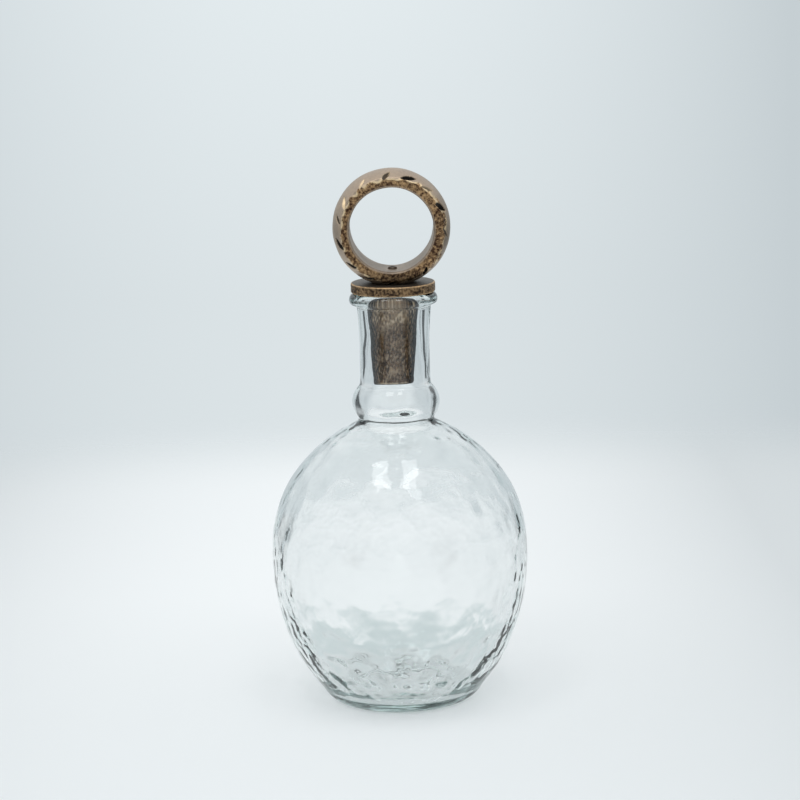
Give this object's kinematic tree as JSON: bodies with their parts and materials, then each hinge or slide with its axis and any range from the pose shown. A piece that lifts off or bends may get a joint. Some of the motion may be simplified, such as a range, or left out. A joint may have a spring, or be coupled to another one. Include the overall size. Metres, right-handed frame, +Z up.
{
  "type": "stoppered glass decanter",
  "caption": "Round hammered clear-glass decanter with a bulged neck, closed by a tapered metal stopper that has a disc and an upright notched pull ring.",
  "frame": {"origin": "centre of the foot, on the surface that the decanter stands on", "axes": "+Z up along the bottle's axis and out of its mouth; +Y along the axis of the pull ring, away from the viewer; +X to the viewer's right"},
  "size_m": [0.14, 0.14, 0.2912],
  "materials": {
    "clear_glass": "clear hand-blown glass, hammered on its outside",
    "ring_metal": "cast, antique bronze, satin where handled and pitted on its faces",
    "disc_metal": "cast, antique bronze, satin top and mottled edge",
    "plug_metal": "rough cast, antique bronze, streaked",
    "screw_steel": "blackened"
  },
  "bodies": {
    "bottle": {"glass_body": "clear_glass", "glass_neck": "clear_glass"},
    "stopper": {"stopper_plug": "plug_metal", "stopper_disc": "disc_metal", "stopper_ring": "ring_metal", "ring_screw": "screw_steel"}
  },
  "joints": [
    {"name": "stopper_lift", "type": "slide", "parent": "bottle", "child": "stopper", "axis": [0, 0, 1], "range_m": [0, 0.06]}
  ]
}
